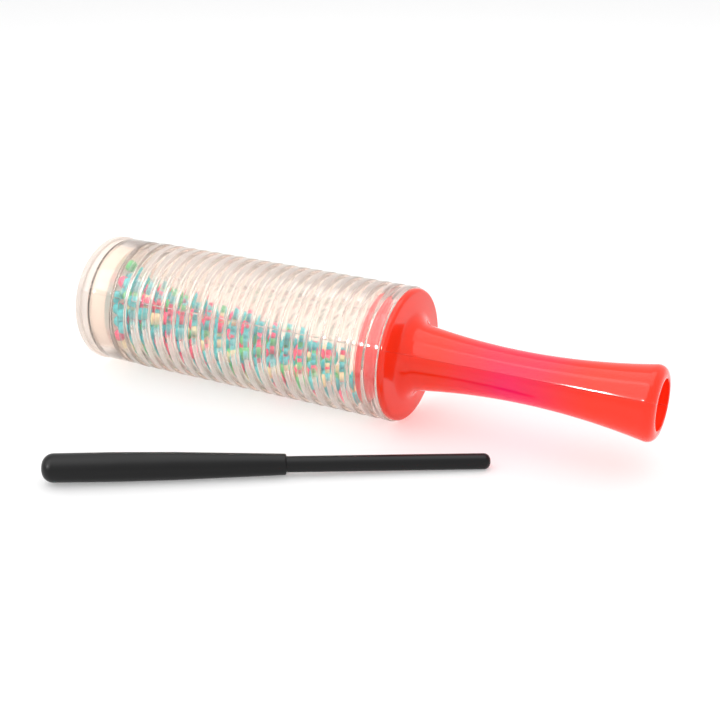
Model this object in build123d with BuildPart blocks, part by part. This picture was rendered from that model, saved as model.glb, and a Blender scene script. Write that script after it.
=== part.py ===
from build123d import *
from math import asin, cos, radians, sin, sqrt
import os

# Ribbed hand shaker: a clear barrel with rings to scrape and a charge of beads inside, a press-in
# end cap, a hollow blow-moulded handle, and the loose beater that is drawn along the ribs.
# Millimetres. +X runs along the barrel's axis, from the cap to the handle's mouth, and +Z is up.
# The origin is the centre of the cap's outer face. Shaker and beater lie on one table.

# Barrel
crest_radius = 30.0  # over the ribs, the largest radius of the shaker
rib_count = 20
rib_width = 3.84  # flat land on top of each rib
groove_width = 3.0
groove_depth = 2.1
barrel_wall = 1.5  # left under a groove
collar_drop = 0.3  # from the crests down to the smooth collar
collar_length = 13.5
collar_chamfer = 1.3
neck_drop = 2.0  # from the crests down to the plain neck
neck_length = 4.22  # between the collar and the first rib

# End cap, a cup that opens outwards
cap_flange_thickness = 3.0
cap_flange_chamfer = 0.9
cap_band_width = 4.0  # recessed band between the flange and the collar
cap_band_drop = 1.5
cap_plug_length = 8.5  # skirt that is pushed into the collar
cap_plug_wall = 1.6
cap_floor_thickness = 2.0

# Handle, one hollow moulding with a closed plug and an open mouth
handle_wall = 2.0
plug_length = 11.5  # closed end, pushed into the barrel
seal_ring_count = 2
seal_ring_width = 2.2
seal_ring_height = 0.7
flange_drop = 0.7  # from the crests down to the flange's rim
flange_thickness = 2.7  # at its rim
flange_chamfer = 1.0
flange_bulge = 1.1  # the flange's front face comes forward by this much towards the neck
trumpet_round = 6.5  # concave sweep from the flange's face into the grip
waist_radius = 11.0  # thinnest place of the grip
waist_station = 54.5  # from the barrel's end to the waist
grip_curve_radius = 300.0  # the grip's long hollow curve
handle_length = 112.5  # from the barrel's end to the mouth
handle_end_round = 4.4
mouth_radius = 10.7
mouth_depth = 12.0  # straight stretch of the open mouth

# Beads, as the heap that they lie in
heap_height_at_cap = 6.0  # top of the heap over the barrel's axis
heap_height_at_handle = -14.0
heap_gap = 0.3  # between the heap and the walls round it

# Beater, a tapered grip and a straight rod
beater_length = 180.0
beater_yaw = 31.24  # degrees, from +X towards +Y
beater_butt_x, beater_butt_y = 56.2, -121.3
beater_grip_length = 97.0
butt_radius = 5.85
butt_round = 4.6
belly_radius = 6.0
belly_station = 40.0  # thickest place of the grip, from the butt
front_wall = 0.95  # of the grip round the rod, at its front
front_chamfer = 0.7
socket_depth = 24.0
rod_radius = 3.3
rod_tip_round = 2.6
rod_end_gap = 0.5  # left under the rod in its socket

# Fits, radial
seat_clearance = 0.05

# Worked out
bore_radius = crest_radius - groove_depth - barrel_wall
seat_radius = bore_radius - seat_clearance  # of the cap's skirt and the handle's seal rings
collar_radius = crest_radius - collar_drop
neck_radius = crest_radius - neck_drop
cap_band_radius = crest_radius - cap_band_drop
flange_radius = crest_radius - flange_drop
front_radius = rod_radius + seat_clearance + front_wall
barrel_start = cap_flange_thickness + cap_band_width
ribs_start = barrel_start + collar_length + neck_length
rib_pitch = rib_width + groove_width
barrel_end = ribs_start + rib_count * rib_pitch - groove_width
cap_floor = barrel_start + cap_plug_length  # the wall that the beads lie against
plug_end = barrel_end - plug_length
mouth_end = barrel_end + handle_length
table = -crest_radius


def corner_at(sketch, corner):
    # the sketch's vertex at this place along and out from the axis
    return sketch.vertices().sort_by_distance(corner)[0]


with BuildPart() as barrel:
    collar_end = barrel_start + collar_length
    first_groove = ribs_start + rib_width + groove_width / 2
    grooves = [(first_groove + i * rib_pitch, crest_radius) for i in range(rib_count - 1)]
    with BuildSketch(Plane.XZ) as barrel_profile:
        with BuildLine():
            Polyline(
                (barrel_start, bore_radius),
                (barrel_start, collar_radius),
                (collar_end, collar_radius),
                (collar_end, neck_radius),
                (ribs_start, neck_radius),
                (ribs_start, crest_radius),
                (barrel_end, crest_radius),
                (barrel_end, bore_radius),
                close=True,
            )
        make_face()
        chamfer(corner_at(barrel_profile, (collar_end, collar_radius)), collar_chamfer)
        with Locations(*grooves):
            Rectangle(groove_width, 2 * groove_depth, mode=Mode.SUBTRACT)
    revolve(axis=Axis.X)
barrel.part.label = "barrel"


with BuildPart() as end_cap:
    recess_radius = seat_radius - cap_plug_wall
    recess_depth = cap_floor - cap_floor_thickness
    with BuildSketch(Plane.XZ) as cap_profile:
        with BuildLine():
            Polyline(
                (0, recess_radius),
                (0, crest_radius),
                (cap_flange_thickness, crest_radius),
                (cap_flange_thickness, cap_band_radius),
                (barrel_start, cap_band_radius),
                (barrel_start, seat_radius),
                (cap_floor, seat_radius),
                (cap_floor, 0),
                (recess_depth, 0),
                (recess_depth, recess_radius),
                close=True,
            )
        make_face()
        chamfer(corner_at(cap_profile, (0, crest_radius)), cap_flange_chamfer)
    revolve(axis=Axis.X)
end_cap.part.label = "end_cap"


def grip_radius(station):
    # radius of the grip's hollow curve at this distance from the barrel's end
    drop = sqrt(grip_curve_radius**2 - (station - waist_station) ** 2)
    return waist_radius + grip_curve_radius - drop


with BuildPart() as handle:
    core_radius = seat_radius - seal_ring_height
    face_station = flange_thickness + flange_bulge
    throat = (barrel_end + face_station, grip_radius(face_station))
    rim = (barrel_end + flange_thickness, flange_radius)
    lip = (mouth_end, grip_radius(handle_length))
    seal_pitch = plug_length / seal_ring_count
    seals = [(plug_end + (i + 0.5) * seal_pitch, 0) for i in range(seal_ring_count)]
    with BuildSketch(Plane.XZ) as handle_profile:
        with BuildLine():
            Polyline(
                throat,
                rim,
                (barrel_end, flange_radius),
                (barrel_end, core_radius),
                (plug_end, core_radius),
                (plug_end, 0),
                (mouth_end, 0),
                lip,
            )
            ThreePointArc(throat, (barrel_end + waist_station, waist_radius), lip)
        make_face()
        fillet(corner_at(handle_profile, throat), trumpet_round)
        fillet(corner_at(handle_profile, lip), min(handle_end_round, 0.9 * (lip[1] - mouth_radius)))
        chamfer(corner_at(handle_profile, rim), flange_chamfer)
        with Locations(*seals):
            Rectangle(seal_ring_width, seat_radius, align=(Align.CENTER, Align.MIN))
        with BuildLine():
            Polyline(
                (plug_end + handle_wall, 0),
                (plug_end + handle_wall, core_radius - handle_wall),
                (rim[0] - handle_wall, core_radius - handle_wall),
                (throat[0], throat[1] - handle_wall),
                (barrel_end + waist_station, waist_radius - handle_wall),
                (mouth_end - mouth_depth, mouth_radius),
                (mouth_end, mouth_radius),
                (mouth_end, 0),
                close=True,
            )
        make_face(mode=Mode.SUBTRACT)
    revolve(axis=Axis.X)
handle.part.label = "handle"


with BuildPart() as bead_heap:
    heap_start = cap_floor + heap_gap
    heap_length = plug_end - cap_floor - 2 * heap_gap
    heap_slope = Vector(plug_end - cap_floor, 0, heap_height_at_handle - heap_height_at_cap)
    heap_top = Plane(
        origin=(cap_floor, 0, heap_height_at_cap),
        x_dir=heap_slope,
        z_dir=Vector(0, -1, 0).cross(heap_slope),
    )
    with BuildSketch(Plane.YZ.offset(heap_start)):
        Circle(bore_radius - heap_gap)
    extrude(amount=heap_length)
    split(bisect_by=heap_top, keep=Keep.BOTTOM)
bead_heap.part.label = "bead_heap"


# The beater touches the table with its grip's belly and with the tip of its rod.
tip_station = beater_length - rod_radius
beater_lean = asin((belly_radius - rod_radius) / (tip_station - belly_station))
butt_height = table + belly_radius + belly_station * sin(beater_lean)
beater_axis = Axis(
    (beater_butt_x, beater_butt_y, butt_height),
    (
        cos(radians(beater_yaw)) * cos(beater_lean),
        sin(radians(beater_yaw)) * cos(beater_lean),
        -sin(beater_lean),
    ),
)
beater_side = Plane(
    origin=beater_axis.position,
    x_dir=beater_axis.direction,
    z_dir=beater_axis.direction.cross(Vector(0, 0, 1)),
)
socket_end = beater_grip_length - socket_depth

with BuildPart() as beater_grip:
    with BuildSketch(beater_side) as grip_profile:
        with BuildLine():
            Polyline(
                (0, 0),
                (0, butt_radius),
                (belly_station, belly_radius),
                (beater_grip_length, front_radius),
                (beater_grip_length, rod_radius + seat_clearance),
                (socket_end, rod_radius + seat_clearance),
                (socket_end, 0),
                close=True,
            )
        make_face()
        fillet(corner_at(grip_profile, (0, butt_radius)), butt_round)
        chamfer(corner_at(grip_profile, (beater_grip_length, front_radius)), front_chamfer)
    revolve(axis=beater_axis)
beater_grip.part.label = "beater_grip"


with BuildPart() as beater_rod:
    with BuildSketch(beater_side) as rod_profile:
        with BuildLine():
            Polyline(
                (socket_end + rod_end_gap, 0),
                (socket_end + rod_end_gap, rod_radius),
                (beater_length, rod_radius),
                (beater_length, 0),
                close=True,
            )
        make_face()
        fillet(corner_at(rod_profile, (beater_length, rod_radius)), rod_tip_round)
    revolve(axis=beater_axis)
beater_rod.part.label = "beater_rod"


os.makedirs("parts", exist_ok=True)
export_step(barrel.part, "parts/barrel.step")
export_step(end_cap.part, "parts/end_cap.step")
export_step(handle.part, "parts/handle.step")
export_step(bead_heap.part, "parts/bead_heap.step")
export_step(beater_grip.part, "parts/beater_grip.step")
export_step(beater_rod.part, "parts/beater_rod.step")
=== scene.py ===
import math
import bmesh
import bpy
import numpy as np
from mathutils import Matrix, Vector


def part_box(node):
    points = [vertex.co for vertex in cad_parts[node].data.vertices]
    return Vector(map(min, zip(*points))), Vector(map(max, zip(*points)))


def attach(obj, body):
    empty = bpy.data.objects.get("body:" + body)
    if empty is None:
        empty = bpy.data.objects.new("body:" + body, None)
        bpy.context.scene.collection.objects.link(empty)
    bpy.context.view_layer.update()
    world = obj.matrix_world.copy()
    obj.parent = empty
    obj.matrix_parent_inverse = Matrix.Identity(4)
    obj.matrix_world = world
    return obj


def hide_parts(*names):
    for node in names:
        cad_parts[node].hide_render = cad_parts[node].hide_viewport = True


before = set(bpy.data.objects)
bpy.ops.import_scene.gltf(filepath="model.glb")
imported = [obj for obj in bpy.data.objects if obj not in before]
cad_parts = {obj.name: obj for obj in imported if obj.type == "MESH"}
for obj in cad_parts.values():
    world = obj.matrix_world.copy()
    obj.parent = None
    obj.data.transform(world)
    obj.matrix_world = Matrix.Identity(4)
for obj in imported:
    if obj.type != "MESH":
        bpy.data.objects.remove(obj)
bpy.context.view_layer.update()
mm = 0.001

# stations along the axis, mm
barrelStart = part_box("barrel")[0].x / mm
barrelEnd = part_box("barrel")[1].x / mm
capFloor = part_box("end_cap")[1].x / mm
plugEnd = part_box("handle")[0].x / mm
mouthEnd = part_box("handle")[1].x / mm


# helpers for meshes

def finishMesh(bm, name):
    mesh = bpy.data.meshes.new(name)
    bm.to_mesh(mesh)
    bm.free()
    mesh.polygons.foreach_set("use_smooth", [True] * len(mesh.polygons))
    piece = bpy.data.objects.new(name, mesh)
    bpy.context.scene.collection.objects.link(piece)
    return piece


def lathe(name, outline, rounds, steps=144, place=Matrix()):
    # outline: corners (x, radius) of the wall's section in mm, rounds: {(x, radius): (size, segments)}
    bm = bmesh.new()
    corners = {corner: bm.verts.new((corner[0] * mm, 0, corner[1] * mm)) for corner in outline}
    bm.faces.new([corners[corner] for corner in outline])
    for corner, (size, segments) in rounds.items():
        bmesh.ops.bevel(bm, geom=[corners[corner]], offset=size * mm, segments=segments,
                        profile=0.5, affect='VERTICES', material=-1)
    bmesh.ops.delete(bm, geom=bm.faces[:], context='FACES_ONLY')
    onAxis = [e for e in bm.edges if all(v.co.z < 1e-6 for v in e.verts)]
    bmesh.ops.delete(bm, geom=onAxis, context='EDGES')
    bmesh.ops.spin(bm, geom=bm.verts[:] + bm.edges[:], cent=(0, 0, 0), axis=(1, 0, 0), dvec=(0, 0, 0),
                   angle=2 * math.pi, steps=steps, use_merge=True)
    bmesh.ops.remove_doubles(bm, verts=bm.verts[:], dist=1e-6)
    bmesh.ops.recalc_face_normals(bm, faces=bm.faces[:])
    bmesh.ops.transform(bm, matrix=place, verts=bm.verts[:])
    piece = finishMesh(bm, name)
    piece.modifiers.new("flatLands", 'WEIGHTED_NORMAL').weight = 80  # wide faces keep their own normal
    return piece


# helpers for materials

def linear(hexColour):
    channels = [int(hexColour[i:i + 2], 16) / 255 for i in (1, 3, 5)]
    return [c / 12.92 if c <= 0.04045 else ((c + 0.055) / 1.055) ** 2.4 for c in channels] + [1.0]


def addNode(tree, kind, settings=None, links=None):
    node = tree.nodes.new(kind)
    for key, value in (settings or {}).items():
        if isinstance(key, int) or key in node.inputs:
            node.inputs[key].default_value = value
        else:
            setattr(node, key, value)
    for key, socket in (links or {}).items():
        tree.links.new(socket, node.inputs[key])
    return node


def startMaterial(name):
    material = bpy.data.materials.new(name)
    material.use_nodes = True
    material.node_tree.nodes.clear()
    return material, material.node_tree


def endMaterial(tree, surface, volume=None):
    output = addNode(tree, "ShaderNodeOutputMaterial", {}, {"Surface": surface.outputs[0]})
    if volume:
        tree.links.new(volume.outputs[0], output.inputs["Volume"])


def dress(piece, material, body, slot, *nodes):
    piece.data.materials.clear()
    piece.data.materials.append(material)
    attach(piece, body)
    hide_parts(*nodes)


# camera, on the front right above the table

camera = {"azimuth": 27.24, "elevation": 23.32, "distance": 0.5306, "lens": 59.33,
          "sensor": 36, "target": (0.1359, 0.0, -0.0072)}


def addCamera():
    az, el = math.radians(camera["azimuth"]), math.radians(camera["elevation"])
    back = Vector((math.sin(az) * math.cos(el), -math.cos(az) * math.cos(el), math.sin(el)))
    data = bpy.data.cameras.new("camera")
    data.lens = camera["lens"]
    data.sensor_width = camera["sensor"]
    eye = bpy.data.objects.new("camera", data)
    eye.location = Vector(camera["target"]) + back * camera["distance"]
    eye.rotation_euler = (-back).to_track_quat('-Z', 'Y').to_euler()
    bpy.context.scene.collection.objects.link(eye)
    bpy.context.scene.camera = eye


addCamera()
print("camera placed")


# materials of the clear pieces

seam = {"height": 0.16, "width": 0.45, "tilt": 24.2}  # mould parting line, mm, and degrees above the front


def seamHeight(tree):
    # a fine ridge where the two mould halves met, on both sides of the X axis
    tilt = math.radians(seam["tilt"])
    coords = addNode(tree, "ShaderNodeTexCoord")
    across = addNode(tree, "ShaderNodeVectorMath",
                     {"operation": 'DOT_PRODUCT', 1: (0, math.sin(tilt), math.cos(tilt))},
                     {0: coords.outputs["Object"]})
    distance = addNode(tree, "ShaderNodeMath", {"operation": 'ABSOLUTE'}, {0: across.outputs["Value"]})
    return addNode(tree, "ShaderNodeMapRange",
                   {"interpolation_type": 'SMOOTHSTEP', "From Max": seam["width"] / 2 * mm,
                    "To Min": 1.0, "To Max": 0.0},
                   {"Value": distance.outputs[0]}), coords


clearPlastic = {"colour": "#fff5ed", "tint": "#ecb49a", "density": 9.0, "roughness": 0.05, "ior": 1.49,
                "flowWave": 14.0, "flowDepth": 0.05, "barrelHaze": 0.07, "capHaze": 0.6}


def clearStyrene(name, haze):
    # injection-moulded clear styrene: ivory where the light goes a long way through it, a slight milkiness
    # from the haze, faint flow waves
    material, tree = startMaterial(name)
    ridge, coords = seamHeight(tree)
    waves = addNode(tree, "ShaderNodeTexNoise", {"Scale": 1 / (clearPlastic["flowWave"] * mm), "Detail": 1.0},
                    {"Vector": coords.outputs["Object"]})
    flow = addNode(tree, "ShaderNodeBump", {"Strength": 1.0, "Distance": clearPlastic["flowDepth"] * mm},
                   {"Height": waves.outputs["Fac"]})
    line = addNode(tree, "ShaderNodeBump", {"Strength": 1.0, "Distance": seam["height"] * mm},
                   {"Height": ridge.outputs["Result"], "Normal": flow.outputs["Normal"]})
    surface = addNode(tree, "ShaderNodeBsdfPrincipled",
                      {"Base Color": linear(clearPlastic["colour"]), "Transmission Weight": 1 - haze,
                       "Roughness": clearPlastic["roughness"], "IOR": clearPlastic["ior"]},
                      {"Normal": line.outputs["Normal"]})
    volume = addNode(tree, "ShaderNodeVolumeAbsorption",
                     {"Color": linear(clearPlastic["tint"]), "Density": clearPlastic["density"]})
    endMaterial(tree, surface, volume)
    return material


# the pink mixed into the middle of the grip is a painted glow, standing in for light through both walls
coralPlastic = {"colour": "#ff3a1c", "haze": 0.7, "specular": 0.3, "roughness": 0.08, "ior": 1.5,
                # the plug colour is painted shade, a deeper red where the plug sits inside the barrel
                "tint": "#ff3018", "density": 60.0, "plug": "#fb1622", "plugBlend": 1.0,
                "paintedGlowPink": "#ff1f70", "paintedGlowAt": 211.0, "paintedGlowLength": 36.0, "paintedGlowStrength": 1.5,
                "paintedGlowPatches": 30.0}  # places and lengths in mm


def coralPolyester():
    # blow-moulded tinted polyester: the colour comes from the wall's depth, the gloss from the mould; the
    # middle of the grip is painted pinker in soft uneven patches, a painted glow of light through both walls
    material, tree = startMaterial("coralBlowMouldedPolyester")
    ridge, coords = seamHeight(tree)
    line = addNode(tree, "ShaderNodeBump", {"Strength": 1.0, "Distance": seam["height"] * mm},
                   {"Height": ridge.outputs["Result"]})
    along = addNode(tree, "ShaderNodeSeparateXYZ", {}, {"Vector": coords.outputs["Object"]})
    paintedGlowPatches = addNode(tree, "ShaderNodeTexNoise", {"Scale": 1 / (coralPlastic["paintedGlowPatches"] * mm), "Detail": 1.0},
                    {"Vector": coords.outputs["Object"]})
    offset = addNode(tree, "ShaderNodeMath", {"operation": 'SUBTRACT', 1: coralPlastic["paintedGlowAt"] * mm},
                     {0: along.outputs["X"]})
    away = addNode(tree, "ShaderNodeMath", {"operation": 'ABSOLUTE'}, {0: offset.outputs[0]})
    near = addNode(tree, "ShaderNodeMapRange",
                   {"interpolation_type": 'SMOOTHSTEP', "From Max": coralPlastic["paintedGlowLength"] * mm,
                    "To Min": coralPlastic["paintedGlowStrength"], "To Max": 0.0}, {"Value": away.outputs[0]})
    share = addNode(tree, "ShaderNodeMath", {"operation": 'MULTIPLY', "use_clamp": True},
                    {0: near.outputs["Result"], 1: paintedGlowPatches.outputs["Fac"]})
    # a colour mix takes its colours in sockets 6 and 7 and gives the mixed one in output 2
    # painted glow: mixes the pink in around the grip's middle, where light passes through both walls
    paintedGlowPink = addNode(tree, "ShaderNodeMix",
                    {"data_type": 'RGBA', 6: linear(coralPlastic["colour"]),
                     7: linear(coralPlastic["paintedGlowPink"])}, {"Factor": share.outputs[0]})
    # painted shade: the plug, inside the barrel, is painted a deeper red than the rest
    halfBlend = coralPlastic["plugBlend"] / 2
    inBarrel = addNode(tree, "ShaderNodeMapRange",
                       {"From Min": (barrelEnd + halfBlend) * mm, "From Max": (barrelEnd - halfBlend) * mm},
                       {"Value": along.outputs["X"]})
    body = addNode(tree, "ShaderNodeMix", {"data_type": 'RGBA', 7: linear(coralPlastic["plug"])},
                   {"Factor": inBarrel.outputs["Result"], 6: paintedGlowPink.outputs[2]})
    surface = addNode(tree, "ShaderNodeBsdfPrincipled",
                      {"Transmission Weight": 1 - coralPlastic["haze"], "IOR": coralPlastic["ior"],
                       "Roughness": coralPlastic["roughness"],
                       "Specular IOR Level": coralPlastic["specular"]},
                      {"Base Color": body.outputs[2], "Normal": line.outputs["Normal"]})
    volume = addNode(tree, "ShaderNodeVolumeAbsorption",
                     {"Color": linear(coralPlastic["tint"]), "Density": coralPlastic["density"]})
    endMaterial(tree, surface, volume)
    return material


barrelMaterial = clearStyrene("clearMouldedStyrene", clearPlastic["barrelHaze"])
capMaterial = clearStyrene("milkyMouldedStyrene", clearPlastic["capHaze"])
coralMaterial = coralPolyester()


# barrel, mm

barrel = {"crest": 30.0, "ribs": 20, "rib": 3.84, "groove": 3.0, "depth": 2.1, "wall": 1.5,
          "collar": 29.7, "collarLength": 13.5, "neck": 28.0, "neckLength": 4.22,
          "ribRound": 0.6, "grooveRound": 0.45, "collarRound": 1.5, "edgeRound": 0.35,
          "wave": 0.95, "waveShift": 0.3, "waveFlat": 0.25, "waveRound": 0.22}  # bore wider under each rib
bore = barrel["crest"] - barrel["depth"] - barrel["wall"]


def makeBarrel():
    b = barrel
    collarEnd = barrelStart + b["collarLength"]
    ribsStart = collarEnd + b["neckLength"]
    floor = b["crest"] - b["depth"]
    outline = [(barrelStart, bore), (barrelStart, b["collar"]), (collarEnd, b["collar"]),
               (collarEnd, b["neck"]), (ribsStart, b["neck"])]
    rounds = {outline[0]: (b["edgeRound"], 2), outline[1]: (b["edgeRound"], 2),
              outline[2]: (b["collarRound"], 4), outline[4]: (b["edgeRound"], 2)}
    for i in range(b["ribs"]):
        left = ribsStart + i * (b["rib"] + b["groove"])
        right = left + b["rib"]
        crests = [(left, b["crest"]), (right, b["crest"])]
        rounds.update({corner: (b["ribRound"], 3) for corner in crests})
        outline += crests
        if i < b["ribs"] - 1:
            floors = [(right, floor), (right + b["groove"], floor)]
            rounds.update({corner: (b["grooveRound"], 2) for corner in floors})
            outline += floors
    outline.append((barrelEnd, bore))
    for i in reversed(range(b["ribs"])):
        middle = ribsStart + (i + 0.5) * b["rib"] + i * b["groove"] + b["waveShift"]
        wave = [(middle + (b["rib"] + b["groove"]) / 2, bore), (middle + b["waveFlat"], bore + b["wave"]),
                (middle - b["waveFlat"], bore + b["wave"])]
        wave = [corner for corner in wave if corner[0] < plugEnd]  # plain again where the plug seals
        rounds.update({corner: (b["waveRound"], 2) for corner in wave})
        outline += wave
    piece = lathe("ribbedBarrel", outline, rounds)
    dress(piece, barrelMaterial, "shaker", "clear_plastic", "barrel")


makeBarrel()
print("barrel turned")


# end cap, mm

cap = {"flange": 3.0, "bandRadius": 28.5, "skirt": 1.6, "floor": 2.0, "seat": 0.05,
       "rimRound": 1.1, "edgeRound": 0.4, "floorRound": 0.8}


def makeCap():
    crest, seat = barrel["crest"], bore - cap["seat"]
    recess = seat - cap["skirt"]
    inside = capFloor - cap["floor"]
    outline = [(0, recess), (0, crest), (cap["flange"], crest), (cap["flange"], cap["bandRadius"]),
               (barrelStart, cap["bandRadius"]), (barrelStart, seat), (capFloor, seat), (capFloor, 0),
               (inside, 0), (inside, recess)]
    rounds = {outline[0]: (cap["edgeRound"], 2), outline[1]: (cap["rimRound"], 4),
              outline[2]: (cap["edgeRound"], 3), outline[3]: (cap["edgeRound"], 2),
              outline[6]: (cap["edgeRound"], 2), outline[9]: (cap["floorRound"], 3)}
    piece = lathe("endCap", outline, rounds)
    dress(piece, capMaterial, "shaker", "clear_plastic", "end_cap")


makeCap()
print("end cap turned")


# handle, mm

handle = {"wall": 2.0, "sealRings": 2, "sealWidth": 2.2, "sealHeight": 0.7,
          "flange": 29.3, "flangeThick": 2.7, "bulge": 1.1,
          "waist": 11.0, "waistStation": 54.5, "curve": 300.0, "mouth": 10.7, "mouthDepth": 12.0,
          "gripStart": 10, "gripStep": 4, "gripRings": 25,
          "plugRound": 0.6, "sealRound": 0.4, "rimRound": 1.5, "throatRound": 5.1, "lipRound": 4.9,
          "mouthRound": 0.35, "insideRound": 1.5, "insideThroat": 3.5, "insideWaist": 20.0,
          "insideMouth": 6.0}


def gripRadius(station):
    drop = math.sqrt(handle["curve"] ** 2 - (station - handle["waistStation"]) ** 2)
    return handle["waist"] + handle["curve"] - drop


def makeHandle():
    h = handle
    seat = bore - cap["seat"]
    core = seat - h["sealHeight"]
    face = h["flangeThick"] + h["bulge"]
    length = mouthEnd - barrelEnd
    throat = (barrelEnd + face, gripRadius(face))
    rim = (barrelEnd + h["flangeThick"], h["flange"])
    lip = (mouthEnd, gripRadius(length))
    mouth = (mouthEnd, h["mouth"])
    pitch = (barrelEnd - plugEnd) / h["sealRings"]
    outline = [(plugEnd, 0), (plugEnd, core)]
    rounds = {outline[1]: (h["plugRound"], 3)}
    for i in range(h["sealRings"]):
        middle = plugEnd + (i + 0.5) * pitch
        left, right = middle - h["sealWidth"] / 2, middle + h["sealWidth"] / 2
        crests = [(left, seat), (right, seat)]
        rounds.update({corner: (h["sealRound"], 3) for corner in crests})
        outline += [(left, core)] + crests + [(right, core)]
    outline += [(barrelEnd, core), (barrelEnd, h["flange"]), rim, throat]
    rounds.update({(barrelEnd, h["flange"]): (h["sealRound"], 2), rim: (h["rimRound"], 5),
                   throat: (h["throatRound"], 12)})
    stations = [h["gripStart"] + h["gripStep"] * i for i in range(h["gripRings"])]
    outline += [(barrelEnd + s, gripRadius(s)) for s in stations] + [lip]
    # the hollow, from the mouth back to the plug
    bottom = (mouthEnd - h["mouthDepth"], h["mouth"])
    waist = (barrelEnd + h["waistStation"], h["waist"] - h["wall"])
    innerThroat = (throat[0], throat[1] - h["wall"])
    corners = [(rim[0] - h["wall"], core - h["wall"]), (plugEnd + h["wall"], core - h["wall"])]
    outline += [mouth, bottom, waist, innerThroat] + corners + [(plugEnd + h["wall"], 0)]
    rounds.update({lip: (h["lipRound"], 9), mouth: (h["mouthRound"], 2), bottom: (h["insideMouth"], 4),
                   waist: (h["insideWaist"], 6), innerThroat: (h["insideThroat"], 6)})
    rounds.update({corner: (h["insideRound"], 4) for corner in corners})
    piece = lathe("hollowHandle", outline, rounds)
    dress(piece, coralMaterial, "shaker", "coral_plastic", "handle")


makeHandle()
print("handle turned")


# beads, mm

beads = {"radius": 3.0, "heightAtCap": 5.0, "heightAtHandle": -15.0, "mound": 24.0, "moundLength": 24.0,
         "spacing": 5.9, "shake": 0.7, "slack": 1.0, "gap": 0.05, "passes": 60, "seed": 7,
         "layer": 0.87, "push": 0.42,  # shares of the spacing and of the overlap
         "colours": {"Teal": ("#1accd9", 0.56), "Pink": ("#ff3f80", 0.25), "Green": ("#48cf80", 0.12),
                     "Yellow": ("#f4ecc0", 0.07)}}


def heapHeight(x, y):
    along = (x - capFloor) / (plugEnd - capFloor)
    slope = beads["heightAtCap"] * (1 - along) + beads["heightAtHandle"] * along
    mound = beads["mound"] * np.exp(-((x - capFloor) / beads["moundLength"]) ** 2)
    return slope + mound * np.clip(0.5 - y / bore, 0, 1)  # piled against the cap, higher on the front side


def packBeads():
    # a shaken lattice under the heap's surface, pushed apart until the beads only touch
    r, step = beads["radius"], beads["spacing"]
    rng = np.random.default_rng(beads["seed"])
    xs = np.arange(capFloor + r, plugEnd - r, step * beads["layer"])
    ys = np.arange(-bore, bore, step)
    grid = np.array([(x, y + (i % 2) * step / 2, z) for i, x in enumerate(xs) for y in ys for z in ys])
    grid += rng.normal(0, beads["shake"], grid.shape)
    inside = np.hypot(grid[:, 1], grid[:, 2]) < bore - r + beads["slack"]
    places = grid[inside & (grid[:, 2] < heapHeight(grid[:, 0], grid[:, 1]) - r)]
    for _ in range(beads["passes"]):
        gap = places[:, None] - places[None]
        dist = np.linalg.norm(gap, axis=2) + 1e-9
        push = np.clip(2 * r - dist, 0, None)
        np.fill_diagonal(push, 0)
        places = places + beads["push"] * (gap * (push / dist)[..., None]).sum(1)
        places[:, 0] = np.clip(places[:, 0], capFloor + r, plugEnd - r)
        out = np.hypot(places[:, 1], places[:, 2])
        places[:, 1:] *= np.minimum(1, (bore - r - beads["gap"]) / np.maximum(out, 1e-9))[:, None]
    return places, rng


beadPlastic = {"roughness": 0.12, "ior": 1.5, "transmission": 0.1, "darkest": 0.8, "lightest": 1.2}


def beadStyrene(name, colour):
    # tumbled translucent polystyrene beads, polished by rubbing on each other
    material, tree = startMaterial("tumbledStyreneBead" + name)
    coords = addNode(tree, "ShaderNodeTexCoord")
    patches = addNode(tree, "ShaderNodeTexNoise", {"Scale": 1 / (beads["radius"] * 2 * mm), "Detail": 2.0},
                      {"Vector": coords.outputs["Object"]})
    shade = addNode(tree, "ShaderNodeHueSaturation", {"Color": linear(colour)})
    vary = addNode(tree, "ShaderNodeMapRange",
                   {"To Min": beadPlastic["darkest"], "To Max": beadPlastic["lightest"]},
                   {"Value": patches.outputs["Fac"]})
    tree.links.new(vary.outputs["Result"], shade.inputs["Value"])
    surface = addNode(tree, "ShaderNodeBsdfPrincipled",
                      {"Roughness": beadPlastic["roughness"], "IOR": beadPlastic["ior"],
                       "Transmission Weight": beadPlastic["transmission"]},
                      {"Base Color": shade.outputs["Color"]})
    endMaterial(tree, surface)
    return material


def makeBeads():
    places, rng = packBeads()
    names = list(beads["colours"])
    shares = np.array([beads["colours"][n][1] for n in names])
    picks = rng.choice(len(names), len(places), p=shares / shares.sum())
    for i, name in enumerate(names):
        bm = bmesh.new()
        for place in places[picks == i]:
            bmesh.ops.create_icosphere(bm, subdivisions=2, radius=beads["radius"] * mm,
                                       matrix=Matrix.Translation(Vector(place) * mm))
        piece = finishMesh(bm, "beads" + name)
        dress(piece, beadStyrene(name, beads["colours"][name][0]), "beads", "bead_plastic", "bead_heap")
    print("beads:", len(places))


makeBeads()


# beater, mm

beater = {"length": 180.0, "yaw": 31.24, "butt": (56.2, -121.3), "grip": 97.0, "buttRadius": 5.85,
          "belly": 6.0, "bellyStation": 40.0, "front": 4.3, "socket": 24.0, "rod": 3.3, "seat": 0.05,
          "rodGap": 0.5, "buttRound": 4.6, "bellyRound": 12.0, "frontRound": 0.7, "tipRound": 2.7,
          "gripSteps": 64, "rodSteps": 48}


def beaterPlace():
    tip = beater["length"] - beater["rod"]
    lean = math.asin((beater["belly"] - beater["rod"]) / (tip - beater["bellyStation"]))
    height = -barrel["crest"] + beater["belly"] + beater["bellyStation"] * math.sin(lean)
    butt = Vector((*beater["butt"], height)) * mm
    return (Matrix.Translation(butt) @ Matrix.Rotation(math.radians(beater["yaw"]), 4, 'Z')
            @ Matrix.Rotation(lean, 4, 'Y'))


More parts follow.
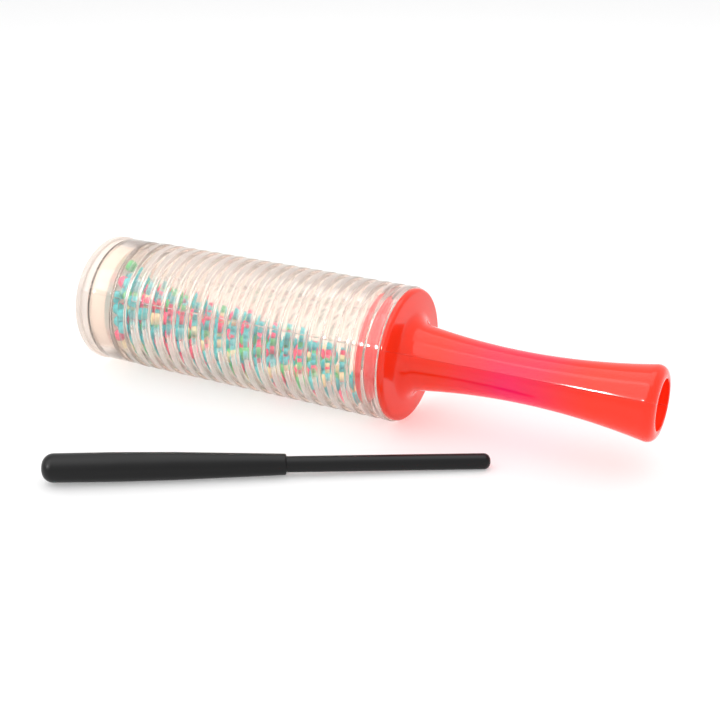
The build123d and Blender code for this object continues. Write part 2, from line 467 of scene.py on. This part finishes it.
blackPlastic = {"colour": "#040405", "specular": 0.28, "ior": 1.5, "roughness": 0.34, "smoother": 0.05,
                "rougher": 0.08, "rub": 18.0, "grain": 0.5, "grainDepth": 0.02, "grainStrength": 0.6}


def blackAbs():
    # moulded black ABS from a lightly textured mould: soft broad shine, very fine grain
    material, tree = startMaterial("blackMouldedAbs")
    coords = addNode(tree, "ShaderNodeTexCoord")
    grain = addNode(tree, "ShaderNodeTexNoise", {"Scale": 1 / (blackPlastic["grain"] * mm), "Detail": 2.0},
                    {"Vector": coords.outputs["Object"]})
    bump = addNode(tree, "ShaderNodeBump",
                   {"Strength": blackPlastic["grainStrength"], "Distance": blackPlastic["grainDepth"] * mm},
                   {"Height": grain.outputs["Fac"]})
    rub = addNode(tree, "ShaderNodeTexNoise", {"Scale": 1 / (blackPlastic["rub"] * mm), "Detail": 3.0},
                  {"Vector": coords.outputs["Object"]})
    gloss = addNode(tree, "ShaderNodeMapRange",
                    {"To Min": blackPlastic["roughness"] - blackPlastic["smoother"],
                     "To Max": blackPlastic["roughness"] + blackPlastic["rougher"]},
                    {"Value": rub.outputs["Fac"]})
    surface = addNode(tree, "ShaderNodeBsdfPrincipled",
                      {"Base Color": linear(blackPlastic["colour"]), "IOR": blackPlastic["ior"],
                       "Specular IOR Level": blackPlastic["specular"]},
                      {"Normal": bump.outputs["Normal"], "Roughness": gloss.outputs["Result"]})
    endMaterial(tree, surface)
    return material


def makeBeater():
    b = beater
    place, material = beaterPlace(), blackAbs()
    hole = b["rod"] + b["seat"]
    socketEnd = b["grip"] - b["socket"]
    outline = [(0, 0), (0, b["buttRadius"]), (b["bellyStation"], b["belly"]), (b["grip"], b["front"]),
               (b["grip"], hole), (socketEnd, hole), (socketEnd, 0)]
    rounds = {outline[1]: (b["buttRound"], 8), outline[2]: (b["bellyRound"], 6),
              outline[3]: (b["frontRound"], 3)}
    grip = lathe("beaterGrip", outline, rounds, b["gripSteps"], place)
    dress(grip, material, "beater", "black_plastic", "beater_grip")
    start = socketEnd + b["rodGap"]
    outline = [(start, 0), (start, b["rod"]), (b["length"], b["rod"]), (b["length"], 0)]
    rod = lathe("beaterRod", outline, {outline[2]: (b["tipRound"], 6)}, b["rodSteps"], place)
    dress(rod, material, "beater", "black_plastic", "beater_rod")


makeBeater()
print("beater turned")


# table and light

studio = {"tableSize": 12.0, "tableMiddle": 0.13, "table": "#f4f4f4", "tableRoughness": 0.7,
          "tableSpecular": 0.2, "world": 1.0, "bounces": 32}
lamps = {"frontSoftbox": {"size": (1.2, 1.15), "aim": (0.12, 0.0, 0.0), "from": (-0.32, -0.72, 0.95),
                          "power": 8.0, "onMatt": False},
         "topSoftbox": {"size": (1.2, 1.2), "aim": (0.12, 0.0, 0.0), "from": (0.1, 0.15, 1.2),
                        "power": 6.4, "onMatt": True},
         "smallFlash": {"size": (0.07, 0.07), "aim": (0.16, 0.0, 0.0), "from": (-0.26, -0.94, 0.48),
                        "power": 2.5, "onMatt": False}}


def addLamp(name, lamp):
    data = bpy.data.lights.new(name, 'AREA')
    data.shape = 'RECTANGLE'
    data.size, data.size_y = lamp["size"]
    data.energy = lamp["power"]
    light = bpy.data.objects.new(name, data)
    light.location = lamp["from"]
    toward = Vector(lamp["aim"]) - Vector(lamp["from"])
    light.rotation_euler = toward.to_track_quat('-Z', 'Y').to_euler()
    light.visible_camera = False
    light.visible_diffuse = lamp["onMatt"]
    data.use_shadow = False  # a soft fill, so the table keeps only the faint shadow of the white room
    bpy.context.scene.collection.objects.link(light)


def makeStudio():
    bm = bmesh.new()
    bmesh.ops.create_grid(bm, x_segments=1, y_segments=1, size=studio["tableSize"] / 2,
                          matrix=Matrix.Translation((studio["tableMiddle"], 0, -barrel["crest"] * mm)))
    table = finishMesh(bm, "table")
    material, tree = startMaterial("mattWhiteLaminate")
    surface = addNode(tree, "ShaderNodeBsdfPrincipled",
                      {"Base Color": linear(studio["table"]), "Roughness": studio["tableRoughness"],
                       "Specular IOR Level": studio["tableSpecular"]})
    endMaterial(tree, surface)
    table.data.materials.append(material)
    world = bpy.data.worlds.new("studioWhite")
    world.use_nodes = True
    world.node_tree.nodes["Background"].inputs["Color"].default_value = (1, 1, 1, 1)
    world.node_tree.nodes["Background"].inputs["Strength"].default_value = studio["world"]
    bpy.context.scene.world = world
    bpy.context.scene.view_settings.view_transform = 'Standard'
    bpy.context.scene.cycles.max_bounces = studio["bounces"]  # many walls of clear plastic one behind another
    bpy.context.scene.cycles.transmission_bounces = studio["bounces"]
    for name, lamp in lamps.items():
        addLamp(name, lamp)


makeStudio()
print("studio lit")
